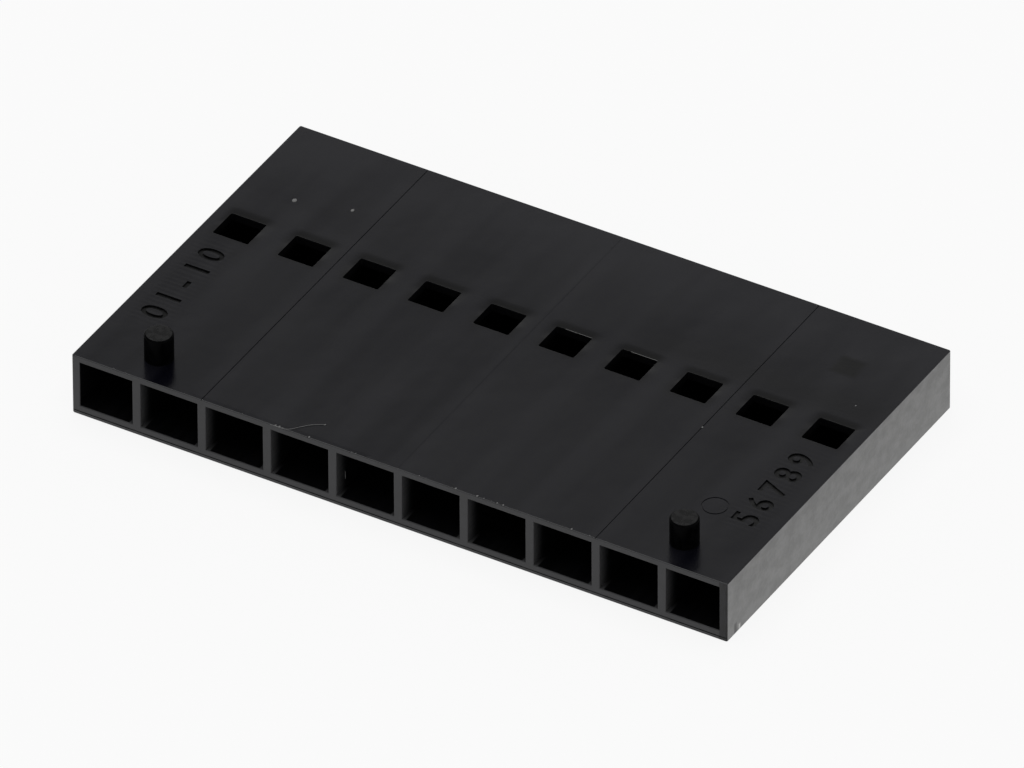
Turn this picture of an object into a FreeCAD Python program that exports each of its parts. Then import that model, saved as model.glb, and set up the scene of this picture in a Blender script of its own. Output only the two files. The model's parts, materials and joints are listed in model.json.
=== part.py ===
import FreeCAD, Part

# Single-row crimp socket housing, moulded in one piece.
# Wires and their crimped sockets go in through the wide mouths on the -Y face, slide along a
# chamber each until the socket's spring finger snaps into the window above it, and meet the
# header's square posts through the pin holes on the +Y face.
# X runs along the row, Y from the wire face to the mating face, Z up.
# The origin is the middle of the underside, where the housing rests.

import os

import Sketcher
from FreeCAD import Vector

NODE = "housing"
TOUCH = 1e-5  # how near, in mm, an edge has to be to the place where it is looked for

# Driving dimensions in millimetres. Each is a cell of the sheet, under the same name.
SIZES = (
    ("circuits", 10, "contact chambers in the row, a plain count"),
    ("pitch", 2.54, "from one contact to the next"),
    ("end_play", 0.05, "how much shorter than its circuits the row is, so that two stack end to end"),
    ("depth", 14.99, "from the wire face to the mating face"),
    ("thickness", 2.41, "from the underside to the top face"),
    ("corner_radius", 0.07, "upright corners of the block"),
    ("rim_radius", 0.035, "edges round the top face"),
    ("sill_radius", 0.05, "edges round the underside"),
    ("parting_height", 0.13, "from the underside to the mould's parting line on the wire face"),
    ("parting_line", 0.04, "width of the parting line"),
    ("parting_depth", 0.03, "depth of the parting line"),
    ("end_wall", 0.305, "wall beyond the first and the last chamber"),
    ("partition", 0.32, "wall between two wire mouths"),
    ("roof", 0.23, "wall over the chambers"),
    ("mouth_height", 1.80, "height of a wire mouth"),
    ("mouth_depth", 7.20, "how far the wire mouths run in before they narrow"),
    ("throat_depth", 0.45, "length of the slope that centres a contact"),
    ("contact_width", 1.78, "width of a contact chamber"),
    ("contact_height", 1.64, "height of a contact chamber"),
    ("nose_wall", 0.80, "wall that stops the contacts, at the mating face"),
    ("post_hole", 0.84, "side of the square hole for a post"),
    ("lead_in", 1.46, "side of the square mouth of the post's lead-in"),
    ("lead_in_depth", 0.36, "depth of the lead-in"),
    ("window_width", 1.38, "window over a contact, along the row"),
    ("window_length", 1.27, "window over a contact, along the contact"),
    ("window_setback", 8.27, "from the wire face to the window's locking edge"),
    ("window_corner", 0.06, "corner radius of a window"),
    ("peg_diameter", 1.02, "locating pegs on the top face"),
    ("peg_height", 1.00, "how far the pegs stand up"),
    ("peg_setback", 1.35, "from the wire face to the pegs' axes"),
    ("peg_offset", 0.10, "how far both pegs stand to +X of the partitions that carry them"),
    ("peg_rim", 0.07, "rounded rim of a peg"),
    ("ejector_diameter", 0.95, "witness rings that the ejector pins leave beside the pegs"),
    ("ejector_setback", 3.55, "from the wire face to the rings' centres"),
    ("ejector_line", 0.05, "width of a ring"),
    ("ejector_depth", 0.02, "depth of a ring"),
    ("joint_start", 2, "circuits before the first joint line of the mould's inserts, a plain count"),
    ("joint_step", 3, "circuits between two joint lines, a plain count"),
    ("joint_count", 3, "joint lines across the top face, a plain count"),
    ("joint_line", 0.04, "width of a joint line"),
    ("joint_depth", 0.02, "depth of a joint line"),
)

# Places that several features share, as expressions of the sheet's cells.
WIDTH = "(sizes.circuits * sizes.pitch - sizes.end_play)"
FRONT = "(sizes.depth / 2)"
ROW_LENGTH = "((sizes.circuits - 1) * sizes.pitch)"
FIRST = "(-" + ROW_LENGTH + " / 2)"
CEILING = "(sizes.thickness - sizes.roof)"
CHAMBER_AXIS = "(" + CEILING + " - sizes.mouth_height / 2)"
CONTACT_END = "(sizes.depth - sizes.nose_wall)"
PEG_ROW = "((sizes.circuits - 2) * sizes.pitch)"


def make_sheet(doc):
    sheet = doc.addObject("Spreadsheet::Sheet", "sizes")
    for row, (name, value, meaning) in enumerate(SIZES, start=1):
        sheet.set("A%d" % row, meaning)
        sheet.set("B%d" % row, str(value))
        sheet.setAlias("B%d" % row, name)
    doc.recompute()
    return sheet


def origin_plane(body, role):
    for feature in body.Origin.OriginFeatures:
        if feature.Role == role:
            return feature
    raise RuntimeError("no origin plane " + role)


def add_sketch(body, name, role, lift):
    """A sketch on one of the body's own planes, moved along the plane's normal by an expression."""
    sketch = body.newObject("Sketcher::SketchObject", name)
    sketch.AttachmentSupport = (origin_plane(body, role), [""])
    sketch.MapMode = "FlatFace"
    sketch.setExpression(".AttachmentOffset.Base.z", lift)
    return sketch


def bind(sketch, constraint, name, expression):
    index = sketch.addConstraint(constraint)
    sketch.renameConstraint(index, name)
    sketch.setExpression("Constraints." + name, expression)


def add_rectangle(sketch, middle, low, wide, tall):
    """A rectangle of the given width and height, from the place of its middle and its low side."""
    corners = [Vector(-1, 1, 0), Vector(1, 1, 0), Vector(1, 2, 0), Vector(-1, 2, 0)]
    first = sketch.GeometryCount
    for index in range(4):
        sketch.addGeometry(Part.LineSegment(corners[index], corners[(index + 1) % 4]), False)
    low_side, right_side, top_side, left_side = range(first, first + 4)
    for side, following in ((low_side, right_side), (right_side, top_side),
                            (top_side, left_side), (left_side, low_side)):
        sketch.addConstraint(Sketcher.Constraint("Coincident", side, 2, following, 1))
    sketch.addConstraint(Sketcher.Constraint("Horizontal", low_side))
    sketch.addConstraint(Sketcher.Constraint("Horizontal", top_side))
    sketch.addConstraint(Sketcher.Constraint("Vertical", right_side))
    sketch.addConstraint(Sketcher.Constraint("Vertical", left_side))
    bind(sketch, Sketcher.Constraint("DistanceX", -1, 1, low_side, 1, -1.0),
         "left", middle + " - " + wide + " / 2")
    bind(sketch, Sketcher.Constraint("DistanceY", -1, 1, low_side, 1, 1.0), "low", low)
    bind(sketch, Sketcher.Constraint("DistanceX", low_side, 1, low_side, 2, 2.0), "wide", wide)
    bind(sketch, Sketcher.Constraint("DistanceY", right_side, 1, right_side, 2, 1.0), "tall", tall)


def add_circle(sketch, name, across, along, diameter):
    index = sketch.addGeometry(Part.Circle(Vector(1, 1, 0), Vector(0, 0, 1), 1.0), False)
    bind(sketch, Sketcher.Constraint("DistanceX", -1, 1, index, 3, 1.0), name + "_across", across)
    bind(sketch, Sketcher.Constraint("DistanceY", -1, 1, index, 3, 1.0), name + "_along", along)
    bind(sketch, Sketcher.Constraint("Diameter", index, 2.0), name + "_diameter", diameter)


def add_profile_feature(body, kind, name, sketch, length, reversed_side=False):
    feature = body.newObject("PartDesign::" + kind, name)
    feature.Profile = sketch
    feature.Reversed = reversed_side
    feature.setExpression("Length", length)
    return feature


def add_row(body, name, originals, sketch, count, spacing="sizes.pitch"):
    """Repeats features along the row."""
    row = body.newObject("PartDesign::LinearPattern", name)
    row.Originals = originals
    row.Direction = (sketch, ["H_Axis"])
    row.Mode = "Spacing"
    row.setExpression("Offset", spacing)
    row.setExpression("Occurrences", count)
    body.Tip = row
    return row


def edges_where(shape, test):
    names = []
    for index, edge in enumerate(shape.Edges, start=1):
        if test(edge.BoundBox):
            names.append("Edge%d" % index)
    if not names:
        raise RuntimeError("no edge found to round")
    return names


def add_fillet(body, name, base, names, radius):
    fillet = body.newObject("PartDesign::Fillet", name)
    fillet.Base = (base, names)
    fillet.setExpression("Radius", radius)
    return fillet


def recompute_changed(doc, before, feature, sign):
    """Recomputes, and checks that the feature added or took away volume as it should."""
    doc.recompute()
    change = (feature.Shape.Volume - before.Shape.Volume) * sign
    if change <= 0:
        raise RuntimeError(feature.Label + " changed nothing")


def make_block(doc, body, sheet):
    """The plain slab with its rounded edges."""
    outline = add_sketch(body, "BlockOutline", "XY_Plane", "0")
    add_rectangle(outline, "0", "-" + FRONT, WIDTH, "sizes.depth")
    block = add_profile_feature(body, "Pad", "Block", outline, "sizes.thickness")
    doc.recompute()

    height = sheet.thickness
    upright = edges_where(block.Shape, lambda box: box.ZLength > height / 2)
    corners = add_fillet(body, "UprightCorners", block, upright, "sizes.corner_radius")
    recompute_changed(doc, block, corners, -1)

    low = edges_where(corners.Shape, lambda box: box.ZMax < TOUCH)
    sill = add_fillet(body, "Sill", corners, low, "sizes.sill_radius")
    recompute_changed(doc, corners, sill, -1)

    high = edges_where(sill.Shape, lambda box: box.ZMin > height - TOUCH)
    rim = add_fillet(body, "Rim", sill, high, "sizes.rim_radius")
    recompute_changed(doc, sill, rim, -1)
    return rim


def make_wire_mouths(doc, body, base):
    """One wide pocket behind the wire face, divided again by the partitions."""
    across = "(" + WIDTH + " - 2 * sizes.end_wall)"
    floor = "(" + CEILING + " - sizes.mouth_height)"
    opening = add_sketch(body, "MouthOutline", "XZ_Plane", FRONT)
    add_rectangle(opening, "0", floor, across, "sizes.mouth_height")
    hall = add_profile_feature(body, "Pocket", "MouthHall", opening, "sizes.mouth_depth")
    recompute_changed(doc, base, hall, -1)

    wall_outline = add_sketch(body, "PartitionOutline", "XZ_Plane", FRONT)
    first_wall = "(" + FIRST + " + sizes.pitch / 2)"
    add_rectangle(wall_outline, first_wall, floor, "sizes.partition", "sizes.mouth_height")
    wall = add_profile_feature(body, "Pad", "Partition", wall_outline, "sizes.mouth_depth", True)
    recompute_changed(doc, hall, wall, 1)
    walls = add_row(body, "Partitions", [wall], wall_outline, "sizes.circuits - 1")
    doc.recompute()
    return walls


def make_contact_chambers(doc, body, base):
    """The chamber, throat, window, post hole and lead-in of the first contact, then the row."""
    chamber_low = "(" + CHAMBER_AXIS + " - sizes.contact_height / 2)"
    chamber_outline = add_sketch(body, "ChamberOutline", "XZ_Plane", FRONT)
    add_rectangle(chamber_outline, FIRST, chamber_low, "sizes.contact_width", "sizes.contact_height")
    chamber = add_profile_feature(body, "Pocket", "Chamber", chamber_outline, CONTACT_END)
    recompute_changed(doc, base, chamber, -1)

    throat_wide = "(2 * (" + WIDTH + " / 2 - sizes.end_wall - " + ROW_LENGTH + " / 2))"
    throat_low = "(" + CEILING + " - sizes.mouth_height)"
    throat_back = add_sketch(body, "ThroatMouth", "XZ_Plane", "(" + FRONT + " - sizes.mouth_depth)")
    add_rectangle(throat_back, FIRST, throat_low, throat_wide, "sizes.mouth_height")
    throat_end = "(" + FRONT + " - sizes.mouth_depth - sizes.throat_depth)"
    throat_front = add_sketch(body, "ThroatEnd", "XZ_Plane", throat_end)
    add_rectangle(throat_front, FIRST, chamber_low, "sizes.contact_width", "sizes.contact_height")
    throat = body.newObject("PartDesign::SubtractiveLoft", "Throat")
    throat.Profile = throat_back
    throat.Sections = [throat_front]
    throat.Ruled = True
    recompute_changed(doc, chamber, throat, -1)

    window_low = "(-" + FRONT + " + sizes.window_setback)"
    window_outline = add_sketch(body, "WindowOutline", "XY_Plane", "sizes.thickness")
    add_rectangle(window_outline, FIRST, window_low, "sizes.window_width", "sizes.window_length")
    to_chamber = "(sizes.thickness - " + CHAMBER_AXIS + ")"
    window = add_profile_feature(body, "Pocket", "Window", window_outline, to_chamber)
    recompute_changed(doc, throat, window, -1)

    post_low = "(" + CHAMBER_AXIS + " - sizes.post_hole / 2)"
    post_outline = add_sketch(body, "PostOutline", "XZ_Plane", "-" + FRONT)
    add_rectangle(post_outline, FIRST, post_low, "sizes.post_hole", "sizes.post_hole")
    post = add_profile_feature(body, "Pocket", "PostHole", post_outline, "sizes.nose_wall", True)
    recompute_changed(doc, window, post, -1)

    lead_low = "(" + CHAMBER_AXIS + " - sizes.lead_in / 2)"
    lead_mouth = add_sketch(body, "LeadInMouth", "XZ_Plane", "-" + FRONT)
    add_rectangle(lead_mouth, FIRST, lead_low, "sizes.lead_in", "sizes.lead_in")
    lead_end = add_sketch(body, "LeadInEnd", "XZ_Plane", "(-" + FRONT + " + sizes.lead_in_depth)")
    add_rectangle(lead_end, FIRST, post_low, "sizes.post_hole", "sizes.post_hole")
    lead = body.newObject("PartDesign::SubtractiveLoft", "LeadIn")
    lead.Profile = lead_mouth
    lead.Sections = [lead_end]
    lead.Ruled = True
    recompute_changed(doc, post, lead, -1)

    originals = [chamber, throat, window, post, lead]
    row = add_row(body, "ContactRow", originals, chamber_outline, "sizes.circuits")
    recompute_changed(doc, lead, row, -1)
    return row


def round_windows(doc, body, sheet, base):
    """The small upright corners of every window."""
    def is_window_corner(box):
        upright = box.XLength < TOUCH and box.YLength < TOUCH
        return upright and abs(box.ZMax - sheet.thickness) < TOUCH

    names = edges_where(base.Shape, is_window_corner)
    corners = add_fillet(body, "WindowCorners", base, names, "sizes.window_corner")
    recompute_changed(doc, base, corners, 1)
    return corners


def make_pegs(doc, body, sheet, base):
    """Two locating pegs over the first and the last partition, with a rounded rim."""
    outline = add_sketch(body, "PegOutline", "XY_Plane", "sizes.thickness")
    along = "(-" + FRONT + " + sizes.peg_setback)"
    for name, side in (("first", "-"), ("last", "")):
        across = side + PEG_ROW + " / 2 + sizes.peg_offset"
        add_circle(outline, name, across, along, "sizes.peg_diameter")
    pegs = add_profile_feature(body, "Pad", "Pegs", outline, "sizes.peg_height")
    recompute_changed(doc, base, pegs, 1)

    top = sheet.thickness + sheet.peg_height
    names = edges_where(pegs.Shape, lambda box: box.ZMin > top - TOUCH)
    rims = add_fillet(body, "PegRims", pegs, names, "sizes.peg_rim")
    recompute_changed(doc, pegs, rims, -1)
    return rims


def make_ejector_rings(doc, body, base):
    """The faint rings that two ejector pins leave on the top face."""
    outline = add_sketch(body, "RingOutline", "XY_Plane", "sizes.thickness")
    along = "(-" + FRONT + " + sizes.ejector_setback)"
    inner = "(sizes.ejector_diameter - 2 * sizes.ejector_line)"
    for name, side in (("first", "-"), ("last", "")):
        across = side + PEG_ROW + " / 2"
        add_circle(outline, name + "_outer", across, along, "sizes.ejector_diameter")
        add_circle(outline, name + "_inner", across, along, inner)
    rings = add_profile_feature(body, "Pocket", "EjectorRings", outline, "sizes.ejector_depth")
    recompute_changed(doc, base, rings, -1)
    return rings


def make_parting_line(doc, body, base):
    """The line along the wire face where the two halves of the mould meet."""
    outline = add_sketch(body, "PartingOutline", "XZ_Plane", FRONT)
    add_rectangle(outline, "0", "sizes.parting_height", WIDTH, "sizes.parting_line")
    line = add_profile_feature(body, "Pocket", "PartingLine", outline, "sizes.parting_depth")
    recompute_changed(doc, base, line, -1)
    return line


def make_joint_lines(doc, body, base):
    """The fine lines that the joints of the mould's inserts leave across the top face."""
    outline = add_sketch(body, "JointOutline", "XY_Plane", "sizes.thickness")
    across = "(" + FIRST + " + (sizes.joint_start - 0.5) * sizes.pitch)"
    add_rectangle(outline, across, "-" + FRONT, "sizes.joint_line", "sizes.depth")
    line = add_profile_feature(body, "Pocket", "JointLine", outline, "sizes.joint_depth")
    recompute_changed(doc, base, line, -1)
    spacing = "sizes.joint_step * sizes.pitch"
    lines = add_row(body, "JointLines", [line], outline, "sizes.joint_count", spacing)
    recompute_changed(doc, line, lines, -1)
    return lines


def make_housing(doc, sheet):
    body = doc.addObject("PartDesign::Body", "Housing")
    body.Label = NODE
    block = make_block(doc, body, sheet)
    mouths = make_wire_mouths(doc, body, block)
    chambers = make_contact_chambers(doc, body, mouths)
    windows = round_windows(doc, body, sheet, chambers)
    pegs = make_pegs(doc, body, sheet, windows)
    rings = make_ejector_rings(doc, body, pegs)
    parting = make_parting_line(doc, body, rings)
    body.Tip = make_joint_lines(doc, body, parting)
    body.Placement = FreeCAD.Placement()
    doc.recompute()
    return body


def check_document(doc, pieces):
    for item in doc.Objects:
        if "Invalid" in item.State or "Error" in item.State:
            raise RuntimeError(item.Label + " failed to build")
    for piece in pieces:
        if piece.Shape.isNull() or not piece.Shape.isValid():
            raise RuntimeError(piece.Label + " has no valid shape")
        if len(piece.Shape.Solids) != 1:
            raise RuntimeError(piece.Label + " is not one solid")


def main():
    doc = FreeCAD.newDocument("crimp_socket_housing")
    sheet = make_sheet(doc)
    pieces = [make_housing(doc, sheet)]
    check_document(doc, pieces)
    os.makedirs("parts", exist_ok=True)
    for piece in pieces:
        piece.Shape.exportStep(os.path.join("parts", piece.Label + ".step"))
        box = piece.Shape.BoundBox
        print(piece.Label, round(piece.Shape.Volume, 3), "mm3,", len(piece.Shape.Faces), "faces,",
              round(box.XLength, 3), "x", round(box.YLength, 3), "x", round(box.ZLength, 3), "mm")


main()
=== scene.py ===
"""Looks of a ten-way crimp socket housing: a black moulding, its marks, a pale stage and the camera."""

import json
import math
import random

import bmesh
import bpy
from bpy.props import FloatProperty, FloatVectorProperty, IntProperty, PointerProperty
from bpy.types import NodeSocket, Operator, Panel, PropertyGroup
from mathutils import Matrix, Vector


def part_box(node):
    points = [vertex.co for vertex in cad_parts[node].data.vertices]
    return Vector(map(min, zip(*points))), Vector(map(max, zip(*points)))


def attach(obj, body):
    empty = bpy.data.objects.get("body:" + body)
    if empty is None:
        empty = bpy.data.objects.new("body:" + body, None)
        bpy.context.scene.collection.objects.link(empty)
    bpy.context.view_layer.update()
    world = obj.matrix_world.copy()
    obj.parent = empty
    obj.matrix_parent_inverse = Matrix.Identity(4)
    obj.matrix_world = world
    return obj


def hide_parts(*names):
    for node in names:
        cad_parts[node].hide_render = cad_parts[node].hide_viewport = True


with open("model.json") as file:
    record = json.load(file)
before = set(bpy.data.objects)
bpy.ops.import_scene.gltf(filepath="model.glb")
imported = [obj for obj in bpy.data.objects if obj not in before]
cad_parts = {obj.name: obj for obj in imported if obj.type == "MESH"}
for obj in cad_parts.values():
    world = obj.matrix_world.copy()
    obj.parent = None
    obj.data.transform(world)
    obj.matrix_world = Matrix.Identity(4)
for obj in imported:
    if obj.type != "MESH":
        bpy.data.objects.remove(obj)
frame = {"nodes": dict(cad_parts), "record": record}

bl_info = {
    "name": "Crimp Socket Housing",
    "version": (1, 0, 0),
    "blender": (4, 5, 0),
    "location": "3D View > Sidebar > Housing",
    "description": "Dresses a packed ten-way socket housing and sets its stage",
    "category": "Object",
}

NODE = "housing"
BODY = "root"
MM = 0.001
X, Y, Z = range(3)

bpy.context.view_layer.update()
LOW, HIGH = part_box(NODE)
MOUNTS = {mount["name"]: mount for mount in frame["record"]["mounts"]}
TOP = MOUNTS["top_face"]["pos_m"][Z]
WIRE_FACE = LOW.y
MATING_FACE = HIGH.y
END_FACE = HIGH.x

# Vertices nearer than MERGED become one, and places nearer than NEAR count as the same.
MERGED = 1e-7
NEAR = 0.002 * MM
# A face whose middle lies this near to a side of the moulding belongs to that side.
SKIN = 0.045 * MM
# Half widths of the strips that hold the middle joint line and the left ejector ring.
LINE_REACH = 0.045 * MM
RING_REACH = 0.6 * MM
# The joint lines and rings are shallower than this.
DEEPEST_MARK = 0.03 * MM
# The middle joint line keeps its depth this near to its ends.
LINE_END = 0.05 * MM
# Least part of a normal along an axis: of a face square to it, of a flat one, and of one turned that way.
SQUARE = 0.9999
FLAT = 0.99
TURNED = 0.3
# The height of a figure as a share of the built-in font's size.
FIGURE_SHARE = 0.72
# How far behind the wire face the grains on the front edge lie, in millimetres.
FRONT_RIM = 0.05
# The sockets for colours among all those of a Mix node.
COLOUR_A, COLOUR_B, MIXED_COLOUR = 6, 7, 2


def length(name, description, millimetres):
    """A length property whose default is given in millimetres."""
    default = millimetres * MM
    return FloatProperty(name=name, description=description, default=default, unit="LENGTH", precision=6)


def share(name, description, value):
    return FloatProperty(
        name=name, description=description, default=value, min=0.0, max=1.0, subtype="FACTOR"
    )


def number(name, description, value):
    return FloatProperty(name=name, description=description, default=value, min=0.0)


def turn(name, description, degrees):
    """An angle property whose default is given in degrees."""
    default = math.radians(degrees)
    return FloatProperty(name=name, description=description, default=default, subtype="ANGLE")


def colour(name, description, value):
    return FloatVectorProperty(
        name=name, description=description, default=value, subtype="COLOR", size=3, min=0.0, max=1.0
    )


def place(name, description, millimetres):
    """A point of the row frame, given in millimetres."""
    default = [value * MM for value in millimetres]
    return FloatVectorProperty(
        name=name, description=description, default=default, subtype="XYZ", unit="LENGTH", size=3
    )


class HousingShape(PropertyGroup):
    """Sizes of the row of cavities and of the fine edges and marks on the moulding."""

    circuits: IntProperty(
        name="Circuits", description="Number of contact cavities in the row", default=10, min=1
    )
    pitch: length("Pitch", "Distance between two cavities", 2.54)
    mouth_width: length("Mouth Width", "Width of each wire mouth", 2.22)
    window_back: length("Window Back", "From the middle of the housing to the windows' back edge", 2.045)
    middle_line: length("Middle Line Depth", "Depth left of the joint line in the middle", 0.006)
    left_ring: length("Left Ring Depth", "Depth left of the ejector ring at the left", 0.002)
    ring_inset: length("Ring Inset", "From an end face to the middle of an ejector ring", 2.515)
    mouth_round: length("Mouth Rounding", "Rounding round each wire mouth", 0.07)
    window_round: length("Window Rounding", "Rounding round each locking window", 0.025)
    post_round: length("Post Hole Rounding", "Rounding round each post hole", 0.03)
    mark_height: length("Mark Height", "Height of the recessed figures", 1.0)
    mark_step: length("Mark Step", "Distance between two recessed figures", 0.93)
    mark_bold: length("Mark Boldness", "How far a figure's strokes are widened to each side", 0.022)
    mark_depth: length("Mark Depth", "Depth of the recessed figures", 0.05)
    mark_inset: length("Mark Inset", "From an end face to the middle of its figures", 1.22)
    mark_margin: length("Mark Margin", "From the middle of the figures to the plain top beside them", 0.61)
    mark_setback: length("Mark Setback", "From the wire face to the middle of the figures", 5.31)
    scuff_width: length("Scuff Width", "Width of the scuffed strip at the right of the wire face", 0.31)


class PlasticFinish(PropertyGroup):
    """Colours of the moulded plastic and the roughness of each part of its surface."""

    plastic: colour("Plastic", "Colour of the dull black faces", (0.0056, 0.0056, 0.0074))
    haze: colour("Haze", "Colour of the dull faces where they are a little paler", (0.0138, 0.0138, 0.0163))
    top_plastic: colour("Top Plastic", "Colour of the polished top", (0.0010, 0.0010, 0.0031))
    # Painted sheen: paler top colour that stands in for brighter reflection, together with real haze.
    top_haze_and_sheen: colour("Top Haze", "Colour of the top where it is a little duller", (0.0092, 0.0092, 0.0121))
    # Painted shade: the darkest colour stands in for the shade on the peg sides, in the joint lines and in
    # the figures.
    deepest_painted_shade: colour("Pit", "Darkest colour of the pegs, joint lines and figures", (0.0007, 0.0007, 0.0008))
    # Painted shade: this colour stands in for the shade deep in the cavities, on the pegs and figures and
    # along the windows' back edges; it also darkens the darker square and the scuffed strip.
    shade: colour("Shade", "Colour where pins and tools polished the plastic", (0.0016, 0.0016, 0.0018))
    # Painted reflection: this pale grey stands in for the floor mirrored in the end faces, and is also the
    # paler grey of the dust.
    painted_sheen_and_dust: colour("Matte", "Colour of the sparked end faces", (0.153, 0.153, 0.151))
    # Painted reflection: the same where the end faces are darker.
    darker_painted_sheen: colour("Matte Dark", "Colour of the darker clouds on the end faces", (0.097, 0.097, 0.095))
    # Partly a real nick and partly a painted highlight where its edge catches the light.
    chip_highlight: colour("Chip", "Colour of a fresh chip in the edge", (0.55, 0.55, 0.54))
    dust: colour("Dust", "Colour of dust and of thin flash", (0.20, 0.20, 0.20))
    # Painted light: paler partitions just inside the mouths, standing in for the light that comes in there.
    painted_light_at_mouths: colour("Glow", "Colour of the partitions just inside the wire mouths", (0.075, 0.075, 0.077))
    top_index: number("Top Index", "Refractive index of the polished top", 1.56)
    end_index: number("End Index", "Refractive index of the end faces", 1.7)
    top_roughness: share("Top Roughness", "Roughness of the polished top", 0.19)
    top_polish: share("Top Polish", "How much smoother the top is where the tool polished it", 0.08)
    dull_roughness: share("Dull Roughness", "Roughness of the wire face, mating face and underside", 0.40)
    end_roughness: share("End Roughness", "Roughness of the end faces", 0.42)
    cavity_roughness: share("Cavity Roughness", "Roughness inside the cavities", 0.45)
    peg_roughness: share("Peg Roughness", "Roughness of the pegs and inside the figures", 0.28)
    cavity_gloss: share("Cavity Gloss", "Reflection level of the cavity walls", 0.12)
    peg_gloss: share("Peg Gloss", "Reflection level of the peg sides and of the joint lines", 0.015)
    figure_gloss: share("Figure Gloss", "Reflection level of the recessed figures", 0.25)
    floor_gloss: share("Floor Gloss", "Reflection level of the peg tops and the right figures' floors", 0.4)
    scuff_gloss: share("Scuff Gloss", "Reflection level of the scuffed strip", 0.32)


class StageSettings(PropertyGroup):
    """The viewpoint, the floor and the level of the light."""

    aim: place("Aim", "Point at the middle of the view", (0.913, -1.513, 2.41))
    azimuth: turn("Azimuth", "Turn of the camera from straight in front", 30.508)
    elevation: turn("Elevation", "Height of the camera above the level", 36.863)
    roll: turn("Roll", "Turn of the camera about its own axis", -0.242)
    distance: length("Distance", "From the aim to the camera", 911.05)
    lens: number("Lens", "Focal length on a 36 mm sensor, in millimetres", 958.17)
    floor_width: length("Floor Width", "Side of the square floor", 3000)
    floor_gap: length("Floor Gap", "How far the floor lies below the underside", 0.01)
    floor_colour: colour("Floor", "Colour of the floor", (0.86, 0.86, 0.86))
    floor_white: share("Floor White", "Share of white in what the camera and reflections see of it", 0.88)
    horizon: number("Horizon", "Strength of the surround near the floor", 0.9)
    sky: number("Sky", "Strength of the surround overhead", 0.18)
    sky_from: share("Sky From", "Sine of the height above which the surround is all sky", 0.75)
    lamp_width: length("Lamp Width", "Side of the square softbox", 1300)
    lamp_height: length("Lamp Height", "Height of the softbox over the floor", 1100)
    lamp_glow: number("Lamp Glow", "Brightness of the softbox, where 1 is white", 1.5)


def shape():
    return bpy.context.scene.housing_shape


def finish():
    return bpy.context.scene.housing_finish


def stage():
    return bpy.context.scene.housing_stage


def node(tree, kind, inputs, **settings):
    """A shader node, each of whose inputs is linked to a socket or set to a plain value."""
    made = tree.nodes.new("ShaderNode" + kind)
    for name, value in settings.items():
        setattr(made, name, value)
    for name, value in inputs.items():
        if isinstance(value, NodeSocket):
            tree.links.new(value, made.inputs[name])
        else:
            made.inputs[name].default_value = value
    return made


def calculate(tree, operation, first, second=0.0):
    return node(tree, "Math", {0: first, 1: second}, operation=operation).outputs[0]


def blend_between(tree, value, low, high, to_low=0.0, to_high=1.0):
    """The value taken smoothly from low..high to to_low..to_high, and held beyond."""
    inputs = {"Value": value, "From Min": low, "From Max": high, "To Min": to_low, "To Max": to_high}
    return node(tree, "MapRange", inputs, interpolation_type="SMOOTHSTEP").outputs["Result"]


def clouds(tree, place_mm, size, contrast=(0.35, 0.65), detail=3.0):
    """Noise from 0 to 1 whose clouds have the given size along X, Y and Z, in millimetres."""
    stretched = node(tree, "Mapping", {"Vector": place_mm, "Scale": [1.0 / side for side in size]})
    noise = node(tree, "TexNoise", {"Vector": stretched.outputs["Vector"], "Scale": 1.0, "Detail": detail})
    return blend_between(tree, noise.outputs["Fac"], *contrast)


def weighted_sum(tree, *patterns):
    """The sum of some patterns, each given with its weight."""
    total = 0.0
    for pattern, weight in patterns:
        total = calculate(tree, "ADD", total, calculate(tree, "MULTIPLY", pattern, weight))
    return total


def varied(tree, pattern, value, below, above):
    """A value that a pattern takes from a little below it to a little above it."""
    return blend_between(tree, pattern, 0.0, 1.0, value - below, value + above)


def patch(tree, place_mm, middle, half, soft):
    """1 within a box round the middle and 0 outside it, with soft edges; all in millimetres."""
    moved = node(tree, "VectorMath", {0: place_mm, 1: middle}, operation="SUBTRACT")
    apart = node(tree, "VectorMath", {0: moved.outputs[0]}, operation="ABSOLUTE")
    over = node(tree, "VectorMath", {0: apart.outputs[0], 1: half}, operation="SUBTRACT")
    sides = node(tree, "SeparateXYZ", {0: over.outputs[0]})
    level = calculate(tree, "MAXIMUM", sides.outputs[X], sides.outputs[Y])
    farthest = calculate(tree, "MAXIMUM", level, sides.outputs[Z])
    return blend_between(tree, farthest, -soft, soft, 1.0, 0.0)


def top_patch(tree, place_mm, middle, half, soft):
    """A patch of the top face, whose middle and half size are given along X and Y, in millimetres."""
    half_height = 1.0
    return patch(tree, place_mm, (*middle, TOP / MM), (*half, half_height), soft)


def mix_colours(tree, factor, first, second):
    """One colour where the factor is 0 and another where it is 1; each a plain colour or a colour socket."""
    mix = node(tree, "Mix", {"Factor": factor}, data_type="RGBA")
    for socket, value in ((mix.inputs[COLOUR_A], first), (mix.inputs[COLOUR_B], second)):
        if isinstance(value, NodeSocket):
            tree.links.new(value, socket)
        else:
            socket.default_value = (*value, 1.0)
    return mix.outputs[MIXED_COLOUR]


def new_finish(name, index=1.5):
    """A node material of a refractive index, with its tree, its shader and the place in millimetres."""
    material = bpy.data.materials.new(name)
    material.use_nodes = True
    tree = material.node_tree
    tree.nodes.clear()
    shader = node(tree, "BsdfPrincipled", {"IOR": index})
    node(tree, "OutputMaterial", {"Surface": shader.outputs["BSDF"]})
    coordinates = node(tree, "TexCoord", {})
    scaled = node(tree, "Mapping", {"Vector": coordinates.outputs["Object"], "Scale": (1.0 / MM,) * 3})
    return material, tree, shader, scaled.outputs["Vector"]


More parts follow.
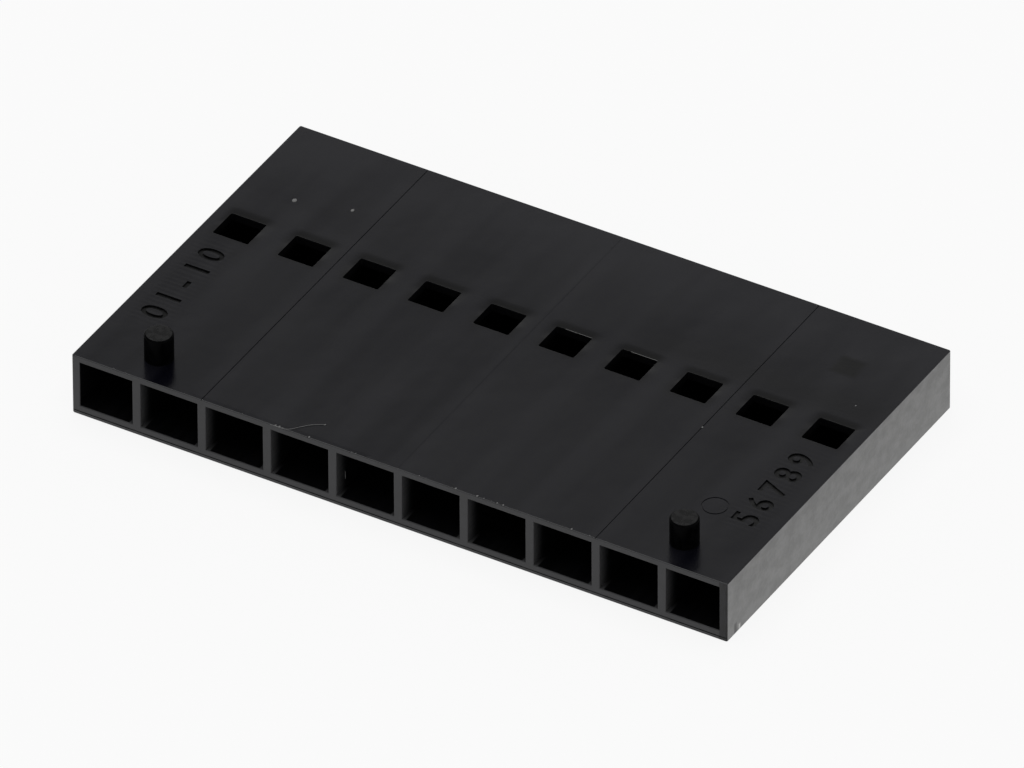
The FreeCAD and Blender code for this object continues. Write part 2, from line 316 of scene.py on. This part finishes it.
def set_surface(tree, shader, base, roughness, heights):
    """Joins a colour, a roughness and bump heights, each with its depth in millimetres, to the shader."""
    tree.links.new(base, shader.inputs["Base Color"])
    tree.links.new(roughness, shader.inputs["Roughness"])
    normal = None
    for height, depth in heights:
        inputs = {"Height": height, "Strength": 1.0, "Distance": depth * MM}
        if normal:
            inputs["Normal"] = normal
        normal = node(tree, "Bump", inputs).outputs["Normal"]
    tree.links.new(normal, shader.inputs["Normal"])


def over_partitions(tree, place_mm):
    """1 over the partitions between the cavities, fading to 0 over the middle of each cavity."""
    across = node(tree, "SeparateXYZ", {0: place_mm}).outputs[X]
    turns = calculate(tree, "MULTIPLY", across, 2 * math.pi * MM / shape().pitch)
    return blend_between(tree, calculate(tree, "COSINE", turns), -0.2, 1.0)


def over_cavities(tree, place_mm):
    return calculate(tree, "SUBTRACT", 1.0, over_partitions(tree, place_mm))


def haze_and_painted_sheen(tree, place_mm):
    """How much the top is paler, from 0 to 1, partly real haze and partly a painted sheen for brighter
    reflection: streaks, pale partitions, a paler back and two pale patches.
    """
    back_edge = MATING_FACE / MM
    back_zone = 4.0
    streaks = clouds(tree, place_mm, (0.55, 7.0, 7.0))
    along = node(tree, "SeparateXYZ", {0: place_mm}).outputs[Y]
    toward_back = blend_between(tree, along, back_edge - back_zone, back_edge)
    left_back = top_patch(tree, place_mm, middle=(-11.8, 5.0), half=(1.4, 3.0), soft=1.2)
    middle_ridge = top_patch(tree, place_mm, middle=(-0.2, 3.0), half=(0.08, 4.5), soft=0.12)
    total = weighted_sum(
        tree,
        (over_partitions(tree, place_mm), 0.35),
        (streaks, 0.2),
        (toward_back, 0.9),
        (left_back, 0.3),
        (middle_ridge, 0.25),
    )
    return node(tree, "Clamp", {"Value": total}).outputs[0]


def polished_and_shaded_patches(tree, place_mm):
    """1 in the darker square and along the windows' back edges, and less behind the last windows; the top is
    smoother there, and darker with painted shade.
    """
    square_middle = (END_FACE / MM - 2.5, MATING_FACE / MM - 2.54)
    band_middle = (0.0, shape().window_back / MM - 0.485)
    square = top_patch(tree, place_mm, square_middle, half=(0.47, 0.47), soft=0.13)
    # Painted shade: a soft dark band along the windows' back edges.
    band = top_patch(tree, place_mm, band_middle, half=(12.3, 0.8), soft=0.25)
    along_windows = calculate(tree, "MULTIPLY", band, over_cavities(tree, place_mm))
    behind_last = top_patch(tree, place_mm, middle=(8.2, 3.0), half=(4.4, 0.6), soft=0.6)
    faint = calculate(tree, "MULTIPLY", behind_last, 0.45)
    return calculate(tree, "MAXIMUM", square, calculate(tree, "MAXIMUM", along_windows, faint))


def tool_lines(tree, place_mm):
    """Fine lines that the tool left across the top round the figures beside each end."""
    row = shape()
    pattern = {"Vector": place_mm, "Scale": 1.4, "Distortion": 1.5, "Detail": 1.0}
    lines = node(tree, "TexWave", pattern, bands_direction="Y").outputs["Fac"]
    zones = []
    for side in (-1, 1):
        middle = (side * (END_FACE - row.mark_inset) / MM, (WIRE_FACE + row.mark_setback) / MM)
        zones.append(top_patch(tree, place_mm, middle, half=(0.75, 2.6), soft=0.35))
    return calculate(tree, "MULTIPLY", lines, calculate(tree, "MAXIMUM", *zones))


def low_spots(tree, place_mm):
    """-1 where the top sinks along the windows' back edges, and less at a stretch of the front edge."""
    edge_middle = (0.0, shape().window_back / MM - 0.245)
    front_middle = (-4.6, WIRE_FACE / MM - 0.1)
    back_edges = top_patch(tree, place_mm, edge_middle, half=(12.3, 0.375), soft=0.25)
    front_edge = top_patch(tree, place_mm, front_middle, half=(3.4, 0.2), soft=0.12)
    along_windows = calculate(tree, "MULTIPLY", back_edges, over_cavities(tree, place_mm))
    return weighted_sum(tree, (along_windows, -1.0), (front_edge, -0.35))


def polished_top():
    """Satin top: long flow streaks, a painted sheen over the partitions where the top sinks and towards the
    back, painted shade and a sink along the windows' back edges, and fine tool lines round the figures.
    """
    look = finish()
    material, tree, shader, place_mm = new_finish("polished_top", look.top_index)
    wide = clouds(tree, place_mm, (3.5, 5.0, 5.0), (0.3, 0.7))
    grain = clouds(tree, place_mm, (0.07, 0.07, 0.07))
    polished = polished_and_shaded_patches(tree, place_mm)
    # Painted sheen: the top is paler where its reflection is brighter.
    hazy_and_sheen = mix_colours(tree, haze_and_painted_sheen(tree, place_mm), look.top_plastic, look.top_haze_and_sheen)
    # Painted shade: the colour darkens in the polished patches.
    base = mix_colours(tree, polished, hazy_and_sheen, look.shade)
    even = varied(tree, wide, look.top_roughness, 0.02, 0.03)
    roughness = calculate(tree, "SUBTRACT", even, calculate(tree, "MULTIPLY", polished, look.top_polish))
    heights = [
        (wide, 0.012),
        (grain, 0.0008),
        (tool_lines(tree, place_mm), 0.0012),
        (low_spots(tree, place_mm), 0.022),
    ]
    set_surface(tree, shader, base, roughness, heights)
    return material


def plain_faces():
    """Dull finish of the wire face, the mating face and the underside."""
    look = finish()
    material, tree, shader, place_mm = new_finish("plain_faces")
    mottle = clouds(tree, place_mm, (0.35, 0.35, 0.35))
    grain = clouds(tree, place_mm, (0.05, 0.05, 0.05))
    base = mix_colours(tree, mottle, look.plastic, look.haze)
    roughness = varied(tree, mottle, look.dull_roughness, 0.05, 0.05)
    set_surface(tree, shader, base, roughness, [(grain, 0.0015)])
    return material


def scuffed_strip():
    """Darker strip at the right end of the wire face, rubbed in upright smears."""
    look = finish()
    material, tree, shader, place_mm = new_finish("scuffed_strip")
    shader.inputs["Specular IOR Level"].default_value = look.scuff_gloss
    smears = clouds(tree, place_mm, (0.09, 0.3, 0.4), (0.4, 0.6))
    base = mix_colours(tree, smears, look.shade, look.haze)
    roughness = varied(tree, smears, look.dull_roughness, 0.0, 0.15)
    set_surface(tree, shader, base, roughness, [(smears, 0.003)])
    return material


def painted_sheen_ends():
    """Dull, clouded finish of the two end faces, whose pale grey is a painted reflection of the floor,
    darker at the top, with a scuff and a nick with a painted highlight in front.
    """
    look = finish()
    material, tree, shader, place_mm = new_finish("painted_sheen_ends", look.end_index)
    large = clouds(tree, place_mm, (0.7, 0.7, 0.45), (0.3, 0.7), 4.0)
    small = clouds(tree, place_mm, (0.12, 0.12, 0.12))
    height = node(tree, "SeparateXYZ", {0: place_mm}).outputs[Z]
    upper = blend_between(tree, height, 0.0, TOP / MM, -0.25, 0.5)
    darkness = weighted_sum(tree, (large, 0.32), (small, 0.32), (upper, 1.0))
    darker = node(tree, "Clamp", {"Value": darkness}).outputs[0]
    scuff_middle = (END_FACE / MM, WIRE_FACE / MM + 0.55, 0.2)
    chip_highlight_middle = (END_FACE / MM, WIRE_FACE / MM + 0.82, 0.13)
    scuff = patch(tree, place_mm, scuff_middle, half=(0.2, 0.09, 0.24), soft=0.06)
    chip_highlight = patch(tree, place_mm, chip_highlight_middle, half=(0.2, 0.05, 0.12), soft=0.04)
    # Painted reflection of the floor, in clouds that are darker at the top.
    clouded = mix_colours(tree, darker, look.painted_sheen_and_dust, look.darker_painted_sheen)
    scuffed = mix_colours(tree, scuff, clouded, look.plastic)
    # Painted highlight on the nick.
    base = mix_colours(tree, chip_highlight, scuffed, look.chip_highlight)
    roughness = varied(tree, large, look.end_roughness, 0.03, 0.05)
    set_surface(tree, shader, base, roughness, [(large, 0.004), (small, 0.0012)])
    return material


def cavity_finish():
    """The walls inside the cavities, drawn smooth along Y by the core pins, dark with painted shade and
    paler at the mouths with painted light.
    """
    look = finish()
    material, tree, shader, place_mm = new_finish("cavity_walls")
    shader.inputs["Specular IOR Level"].default_value = look.cavity_gloss
    drawn = clouds(tree, place_mm, (0.08, 2.0, 0.08))
    # Painted shade: dark colour deep in the cavities.
    deep = mix_colours(tree, calculate(tree, "MULTIPLY", drawn, 0.3), look.shade, look.plastic)
    inward = node(tree, "SeparateXYZ", {0: place_mm}).outputs[Y]
    mouth = WIRE_FACE / MM
    # Painted light: paler near the mouths, fading inwards.
    painted_light_near_mouth = blend_between(tree, inward, mouth - 0.3, mouth + 0.75, 1.0, 0.0)
    near_partition = blend_between(tree, over_partitions(tree, place_mm), 0.85, 0.9)
    base = mix_colours(tree, calculate(tree, "MULTIPLY", painted_light_near_mouth, near_partition), deep, look.painted_light_at_mouths)
    roughness = varied(tree, drawn, look.cavity_roughness, 0.05, 0.05)
    set_surface(tree, shader, base, roughness, [(drawn, 0.0015)])
    return material


def painted_shade_details(name, gloss):
    """The darkest parts, which differ in how much they reflect: pegs, joint lines, ring and figures, whose
    near-black colour is painted shade.
    """
    look = finish()
    material, tree, shader, place_mm = new_finish(name)
    shader.inputs["Specular IOR Level"].default_value = gloss
    rubbed = clouds(tree, place_mm, (0.2, 0.2, 0.5))
    # Painted shade: near-black colour.
    base = mix_colours(tree, rubbed, look.deepest_painted_shade, look.shade)
    roughness = varied(tree, rubbed, look.peg_roughness, 0.05, 0.05)
    set_surface(tree, shader, base, roughness, [(rubbed, 0.0003)])
    return material


def dusty_finish(name):
    """Pale, dull finish of dust, lint and the thinnest flash."""
    material, tree, shader, place_mm = new_finish(name)
    speckle = clouds(tree, place_mm, (0.03, 0.03, 0.03))
    base = mix_colours(tree, speckle, finish().dust, finish().painted_sheen_and_dust)
    roughness = blend_between(tree, speckle, 0.0, 1.0, 0.6, 0.8)
    set_surface(tree, shader, base, roughness, [(speckle, 0.002)])
    return material


def add_object(name, mesh):
    """A piece in the scene that rides on the housing."""
    piece = bpy.data.objects.new(name, mesh)
    bpy.context.scene.collection.objects.link(piece)
    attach(piece, BODY)
    return piece


def middle_of(edge):
    return (edge.verts[0].co + edge.verts[1].co) / 2


def edges_on(bm, axis, level, keep, sharp):
    """Edges sharper than an angle that lie where the axis has that level and whose middle passes keep."""
    found = []
    for edge in bm.edges:
        on_level = all(abs(vert.co[axis] - level) < NEAR for vert in edge.verts)
        if on_level and edge.calc_face_angle() > sharp and keep(middle_of(edge)):
            found.append(edge)
    if not found:
        raise RuntimeError("no edges were found to round")
    return found


def on_middle_line(point):
    return abs(point.x) < LINE_REACH


def on_left_ring(point):
    return abs(point.x + END_FACE - shape().ring_inset) < RING_REACH


def cut_across(bm, faces, point, normal):
    """Splits the faces where a plane crosses them."""
    edges = dict.fromkeys(edge for face in faces for edge in face.edges)
    points = dict.fromkeys(vert for face in faces for vert in face.verts)
    geometry = [*points, *edges, *faces]
    bmesh.ops.bisect_plane(bm, geom=geometry, dist=MERGED, plane_co=point, plane_no=normal)


def fill_faint_marks(bm):
    """Fills most of the left ejector ring and of the middle joint line up to its ends, which hardly show."""
    deep = TOP - DEEPEST_MARK
    last = MATING_FACE - LINE_END

    def in_line(face):
        return all(on_middle_line(vert.co) and vert.co.z > deep for vert in face.verts)

    for end in (-last, last):
        line = [face for face in bm.faces if in_line(face)]
        cut_across(bm, line, (0.0, end, 0.0), (0.0, 1.0, 0.0))
    for marked, depth in ((on_middle_line, shape().middle_line), (on_left_ring, shape().left_ring)):
        floor = TOP - depth
        for vert in bm.verts:
            between_ends = abs(vert.co.y) < last + NEAR
            if marked(vert.co) and between_ends and deep < vert.co.z < floor:
                vert.co.z = floor


def split_off_strip(bm):
    """Splits the right end strip off the wire face, so that it can take a finish of its own."""
    faces = [face for face in bm.faces if abs(face.calc_center_median().y - WIRE_FACE) < NEAR]
    cut_across(bm, faces, (END_FACE - shape().scuff_width, 0.0, 0.0), (1.0, 0.0, 0.0))


def round_rims(bm, face, half_width, along, sharp, radius):
    """Rounds the rims of one kind of opening, one over each cavity.

    face is the axis and the level of the face with the openings, half_width their reach along X
    from a cavity's middle, along the axis and the bounds of their reach the other way, and sharp
    the least angle of a rim in degrees. Reaches are in millimetres, with a little room.
    """
    row = shape()
    middles = [(i - (row.circuits - 1) / 2) * row.pitch for i in range(row.circuits)]
    axis, low, high = along

    def beside_cavity(point):
        nearest = min(abs(point.x - middle) for middle in middles)
        return nearest < half_width * MM and low * MM < point[axis] < high * MM

    rims = edges_on(bm, *face, beside_cavity, math.radians(sharp))
    bmesh.ops.bevel(
        bm,
        geom=rims,
        offset=radius,
        offset_type="OFFSET",
        segments=3,
        profile=0.5,
        affect="EDGES",
        clamp_overlap=True,
        material=-1,
    )


def round_openings(bm):
    """Rounds the rims of the wire mouths, the windows and the post holes."""
    row = shape()
    round_rims(bm, (Y, WIRE_FACE), 1.2, (Z, 0.3, 2.3), 40, row.mouth_round)
    round_rims(bm, (Z, TOP), 0.8, (Y, 0.6, 2.2), 40, row.window_round)
    round_rims(bm, (Y, MATING_FACE), 0.9, (Z, 0.3, 2.2), 20, row.post_round)


def figure_cutter(figure, middle):
    """A closed mesh of one bold figure that reads along Y, half of it sunk into the top face."""
    row = shape()
    curve = bpy.data.curves.new("figure", "FONT")
    curve.body = figure
    curve.align_x = "CENTER"
    curve.align_y = "CENTER"
    curve.size = (row.mark_height - 2 * row.mark_bold) / FIGURE_SHARE
    curve.offset = row.mark_bold
    curve.extrude = row.mark_depth
    curve.resolution_u = 4
    holder = bpy.data.objects.new("figure", curve)
    mesh = bpy.data.meshes.new_from_object(holder)
    bpy.data.objects.remove(holder)
    mesh.transform(Matrix.Translation((*middle, TOP)) @ Matrix.Rotation(math.radians(90), 4, "Z"))
    return mesh


def figures_from():
    """The distance from the middle of the housing beyond which only figures mark the top face."""
    return END_FACE - shape().mark_inset - shape().mark_margin


def numbers_cutter():
    """One mesh of the figures of both rows, one row beside each end."""
    row = shape()
    bm = bmesh.new()
    for side, text in ((-1, "01-10"), (1, "56789")):
        for place_in_row, figure in enumerate(text):
            along = (place_in_row - (len(text) - 1) / 2) * row.mark_step
            middle = (side * (END_FACE - row.mark_inset), WIRE_FACE + row.mark_setback + along)
            bm.from_mesh(figure_cutter(figure, middle))
    bmesh.ops.remove_doubles(bm, verts=bm.verts, dist=MERGED)
    bmesh.ops.recalc_face_normals(bm, faces=bm.faces)
    mesh = bpy.data.meshes.new("numbers")
    bm.to_mesh(mesh)
    bm.free()
    return mesh


def cut_numbers(piece):
    """Sinks a row of plain figures into the top face beside each end."""
    cutter = bpy.data.objects.new("numbers", numbers_cutter())
    bpy.context.scene.collection.objects.link(cutter)
    cut = piece.modifiers.new("numbers", "BOOLEAN")
    cut.object = cutter
    cut.operation = "DIFFERENCE"
    cut.solver = "EXACT"
    whole = bpy.data.meshes.new_from_object(piece.evaluated_get(bpy.context.evaluated_depsgraph_get()))
    piece.modifiers.remove(cut)
    piece.data = whole
    bpy.data.objects.remove(cutter)
    if max(vert.co.z for vert in whole.vertices if abs(vert.co.x) > figures_from()) > TOP + NEAR:
        raise RuntimeError("a figure was left standing on the top face")


def drop_stored_normals(mesh):
    """Takes off the normals that came with the mesh, which no longer fit once its faces change."""
    stored = mesh.attributes.get("custom_normal")
    if stored:
        mesh.attributes.remove(stored)


def shade_moulding(mesh):
    """Flat faces stay flat, and roundings are smooth up to their sharp edges."""
    drop_stored_normals(mesh)
    mesh.set_sharp_from_angle(angle=math.radians(40))
    for face in mesh.polygons:
        square = max(abs(part) for part in face.normal) > SQUARE
        beside_peg = face.center.z > TOP and abs(face.normal.z) < FLAT
        face.use_smooth = beside_peg or not square


def surface_part(face):
    """The part of the surface that a face of the moulding belongs to, from its place and its direction."""
    middle, normal = face.center, face.normal
    if middle.z > TOP + NEAR:
        return "dark" if normal.z < FLAT else "flats"
    if middle.z > TOP - SKIN and normal.z > TURNED:
        return "top"
    if middle.y < WIRE_FACE + SKIN and normal.y < -TURNED:
        return "scuffed" if middle.x > END_FACE - shape().scuff_width else "plain"
    if abs(middle.x) > END_FACE - SKIN:
        return "ends"
    if middle.z < SKIN or middle.y > MATING_FACE - SKIN:
        return "plain"
    if middle.z < TOP - shape().mark_depth - NEAR:
        return "cavities"
    if on_middle_line(middle) or on_left_ring(middle):
        return "top"
    if middle.x > figures_from() and normal.z > FLAT:
        return "flats"
    return "figures" if abs(middle.x) > figures_from() else "dark"


def assign_finishes(mesh):
    """Gives each face the finish of its part of the surface."""
    look = finish()
    finishes = {
        "top": polished_top(),
        "plain": plain_faces(),
        "ends": painted_sheen_ends(),
        "cavities": cavity_finish(),
        "dark": painted_shade_details("peg_sides", look.peg_gloss),
        "figures": painted_shade_details("recessed_figures", look.figure_gloss),
        "flats": painted_shade_details("dark_flats", look.floor_gloss),
        "scuffed": scuffed_strip(),
    }
    for material in finishes.values():
        mesh.materials.append(material)
    parts = list(finishes)
    for face in mesh.polygons:
        face.material_index = parts.index(surface_part(face))


class HOUSING_OT_moulding(Operator):
    """Build the moulding from its solid, with rounded openings, recessed numbers and its finishes"""

    bl_idname = "housing.moulding"
    bl_label = "Moulding"

    def execute(self, context):
        solid = frame["nodes"][NODE].data.copy()
        drop_stored_normals(solid)
        bm = bmesh.new()
        bm.from_mesh(solid)
        bmesh.ops.remove_doubles(bm, verts=bm.verts, dist=MERGED)
        bmesh.ops.dissolve_limit(bm, angle_limit=math.radians(0.5), verts=bm.verts, edges=bm.edges)
        round_openings(bm)
        fill_faint_marks(bm)
        split_off_strip(bm)
        mesh = bpy.data.meshes.new("moulding")
        bm.to_mesh(mesh)
        bm.free()
        piece = add_object("moulding", mesh)
        cut_numbers(piece)
        shade_moulding(piece.data)
        piece.data.materials.clear()
        assign_finishes(piece.data)
        weighted = piece.modifiers.new("weighted_normals", "WEIGHTED_NORMAL")
        weighted.keep_sharp = True
        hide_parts(NODE)
        return {"FINISHED"}


def strand(name, points, radius):
    """A thin closed thread through the points, given in millimetres of the row frame."""
    curve = bpy.data.curves.new(name, "CURVE")
    curve.dimensions = "3D"
    curve.bevel_depth = radius * MM
    curve.bevel_resolution = 2
    curve.use_fill_caps = True
    curve.resolution_u = 6
    line = curve.splines.new("NURBS")
    line.points.add(len(points) - 1)
    for knot, point in zip(line.points, points):
        knot.co = (*(value * MM for value in point), 1.0)
    line.order_u = 3
    line.use_endpoint_u = True
    holder = bpy.data.objects.new(name, curve)
    mesh = bpy.data.meshes.new_from_object(holder)
    bpy.data.objects.remove(holder)
    bpy.data.curves.remove(curve)
    for face in mesh.polygons:
        face.use_smooth = True
    return mesh


class HOUSING_OT_flash(Operator):
    """Lay the thin flash on the front edge, pale strands at two windows that are partly flash and partly a
    painted highlight, and the lint in the fifth mouth
    """

    bl_idname = "housing.flash"
    bl_label = "Flash"

    def execute(self, context):
        skin = dusty_finish("thin_flash")
        pieces = [
            ("flash_strand", self.on_front_edge(), 0.008),
            ("lint_in_mouth", self.in_fifth_mouth(), 0.01),
        ]
        # The strands at windows 6 and 7 are partly flash and partly a painted highlight on the back rims.
        for window in (6, 7):
            pieces.append(("flash_and_highlight_at_window_%d" % window, self.along_back_of(window), 0.008))
        for name, points, radius in pieces:
            piece = add_object(name, strand(name, points, radius))
            piece.data.materials.append(skin)
        return {"FINISHED"}

    def on_front_edge(self):
        """The points of the strand that leaves the front edge and lies across the top."""
        top, front = TOP / MM, WIRE_FACE / MM
        return [
            (-4.95, front + 0.015, top - 0.012),
            (-4.6, front + 0.01, top - 0.005),
            (-4.25, front + 0.03, top + 0.005),
            (-3.95, front + 0.4, top + 0.02),
            (-3.65, front + 0.72, top + 0.02),
            (-3.3, front + 0.9, top + 0.015),
        ]

    def in_fifth_mouth(self):
        """The points of the lint that stands on the left wall of the fifth mouth."""
        row = shape()
        wall = -(row.pitch + row.mouth_width) / 2 / MM
        front = WIRE_FACE / MM
        return [
            (wall + 0.02, front + 0.56, 0.75),
            (wall + 0.03, front + 0.52, 0.9),
            (wall + 0.02, front + 0.55, 1.05),
        ]

    def along_back_of(self, window):
        """The points along the right part of a window's back edge, where the strand is partly flash and
        partly a painted highlight on the rim.
        """
        row = shape()
        middle = (window - (row.circuits + 1) / 2) * row.pitch / MM
        return [(middle + along, row.window_back / MM, TOP / MM - 0.004) for along in (-0.35, 0.15, 0.66)]


class HOUSING_OT_dust(Operator):
    """Scatter the few specks of dust on the top and the crumbs along the front edge"""

    bl_idname = "housing.dust"
    bl_label = "Dust"

    def execute(self, context):
        skin = dusty_finish("dust")
        bm = bmesh.new()
        for across, along, radius in self.single_grains():
            self.add_grain(bm, (across, along, TOP / MM), radius)
        self.add_fine_grains(bm)
        mesh = bpy.data.meshes.new("dust")
        bm.to_mesh(mesh)
        bm.free()
        for face in mesh.polygons:
            face.use_smooth = True
        mesh.materials.append(skin)
        add_object("dust", mesh)
        return {"FINISHED"}

    def single_grains(self):
        """The place along X and Y and the radius of each grain that shows by itself, in millimetres."""
        front = WIRE_FACE / MM
        rim = front + FRONT_RIM
        specks = [(-10.65, 3.71, 0.08), (-8.67, 4.205, 0.06), (11.45, 3.2, 0.025), (7.62, -0.4, 0.03)]
        flash_ends = [(-3.34, front + 0.9, 0.03), (-4.6, rim, 0.035), (-4.75, rim, 0.03)]
        crumbs = [(-3.45, 0.03), (2.22, 0.035), (3.05, 0.035), (3.82, 0.025), (4.05, 0.03), (6.68, 0.03)]
        return specks + flash_ends + [(across, rim, radius) for across, radius in crumbs]

    def add_fine_grains(self, bm):
        """Scatters fine grains along the front edge."""
        count = 30
        chance = random.Random(7)
        for _ in range(count):
            across = chance.uniform(-12.0, 12.4)
            middle = (across, WIRE_FACE / MM + FRONT_RIM, TOP / MM - 0.005)
            self.add_grain(bm, middle, chance.uniform(0.008, 0.02))

    def add_grain(self, bm, middle, radius):
        """A low grain that sits on the surface, in millimetres."""
        lie = Matrix.Translation([value * MM for value in middle]) @ Matrix.Diagonal((1.0, 1.3, 0.5, 1.0))
        bmesh.ops.create_icosphere(bm, subdivisions=2, radius=radius * MM, matrix=lie)


def floor_finish():
    """Pale paint that keeps the object's shadow, mixed with white for the camera and for reflections."""
    settings = stage()
    material = bpy.data.materials.new("pale_floor")
    material.use_nodes = True
    tree = material.node_tree
    tree.nodes.clear()
    paint = node(tree, "BsdfDiffuse", {"Color": (*settings.floor_colour, 1.0)})
    white = node(tree, "Emission", {"Strength": 1.0})
    path = node(tree, "LightPath", {})
    seen = calculate(tree, "MAXIMUM", path.outputs["Is Camera Ray"], path.outputs["Is Glossy Ray"])
    whitened = calculate(tree, "MULTIPLY", seen, settings.floor_white)
    mix = node(tree, "MixShader", {0: whitened, 1: paint.outputs["BSDF"], 2: white.outputs["Emission"]})
    node(tree, "OutputMaterial", {"Surface": mix.outputs["Shader"]})
    return material


def surround():
    """An even surround, bright near the floor and darker overhead."""
    settings = stage()
    world = bpy.data.worlds.new("surround")
    world.use_nodes = True
    tree = world.node_tree
    tree.nodes.clear()
    direction = node(tree, "TexCoord", {}).outputs["Generated"]
    height = node(tree, "SeparateXYZ", {0: direction}).outputs[Z]
    strength = blend_between(tree, height, 0.0, settings.sky_from, settings.horizon, settings.sky)
    background = node(tree, "Background", {"Color": (1.0, 1.0, 1.0, 1.0), "Strength": strength})
    node(tree, "OutputWorld", {"Surface": background.outputs["Background"]})
    return world


class HOUSING_OT_stage(Operator):
    """Lay the pale floor, hang the softbox and aim the camera"""

    bl_idname = "housing.stage"
    bl_label = "Stage"

    def execute(self, context):
        scene = context.scene
        self.add_floor(scene)
        scene.world = surround()
        self.add_softbox(scene)
        self.add_camera(scene)
        scene.view_settings.view_transform = "Standard"
        return {"FINISHED"}

    def add_floor(self, scene):
        settings = stage()
        below = Matrix.Translation((0.0, 0.0, -settings.floor_gap))
        bm = bmesh.new()
        bmesh.ops.create_grid(bm, x_segments=1, y_segments=1, size=settings.floor_width / 2, matrix=below)
        mesh = bpy.data.meshes.new("floor")
        bm.to_mesh(mesh)
        bm.free()
        mesh.materials.append(floor_finish())
        floor = bpy.data.objects.new("floor", mesh)
        scene.collection.objects.link(floor)

    def add_softbox(self, scene):
        """A wide lamp straight overhead; its power follows from its brightness and its size."""
        settings = stage()
        lamp = bpy.data.lights.new("softbox", "AREA")
        lamp.size = settings.lamp_width
        lamp.energy = settings.lamp_glow * math.pi * settings.lamp_width**2
        holder = bpy.data.objects.new("softbox", lamp)
        holder.location = (0.0, 0.0, settings.lamp_height)
        scene.collection.objects.link(holder)

    def add_camera(self, scene):
        """A long lens at the angle of the photograph."""
        settings = stage()
        rise = math.sin(settings.elevation)
        level = math.cos(settings.elevation)
        away = Vector((math.sin(settings.azimuth) * level, -math.cos(settings.azimuth) * level, rise))
        lens = bpy.data.cameras.new("camera")
        lens.sensor_width = 36.0
        lens.lens = settings.lens
        lens.clip_start = 0.05
        lens.clip_end = 10.0
        camera = bpy.data.objects.new("camera", lens)
        aimed = away.to_track_quat("Z", "Y").to_matrix() @ Matrix.Rotation(settings.roll, 3, "Z")
        spot = Vector(settings.aim) + away * settings.distance
        camera.matrix_world = Matrix.Translation(spot) @ aimed.to_4x4()
        scene.collection.objects.link(camera)
        scene.camera = camera


class HOUSING_PT_panel(Panel):
    """Lists the steps and their settings"""

    bl_label = "Socket Housing"
    bl_space_type = "VIEW_3D"
    bl_region_type = "UI"
    bl_category = "Housing"

    def draw(self, context):
        layout = self.layout
        for operator in OPERATORS:
            layout.operator(operator.bl_idname)
        for name, group in GROUPS.items():
            box = layout.box()
            for setting in group.__annotations__:
                box.prop(getattr(context.scene, name), setting)


GROUPS = {"housing_shape": HousingShape, "housing_finish": PlasticFinish, "housing_stage": StageSettings}
OPERATORS = (HOUSING_OT_moulding, HOUSING_OT_flash, HOUSING_OT_dust, HOUSING_OT_stage)


def register():
    for name, group in GROUPS.items():
        bpy.utils.register_class(group)
        setattr(bpy.types.Scene, name, PointerProperty(type=group))
    for operator in OPERATORS:
        bpy.utils.register_class(operator)
    bpy.utils.register_class(HOUSING_PT_panel)


def unregister():
    bpy.utils.unregister_class(HOUSING_PT_panel)
    for operator in reversed(OPERATORS):
        bpy.utils.unregister_class(operator)
    for name, group in reversed(GROUPS.items()):
        delattr(bpy.types.Scene, name)
        bpy.utils.unregister_class(group)


def main():
    register()
    bpy.ops.housing.moulding()
    bpy.ops.housing.flash()
    bpy.ops.housing.dust()
    bpy.ops.housing.stage()


if __name__ == "__main__":
    main()
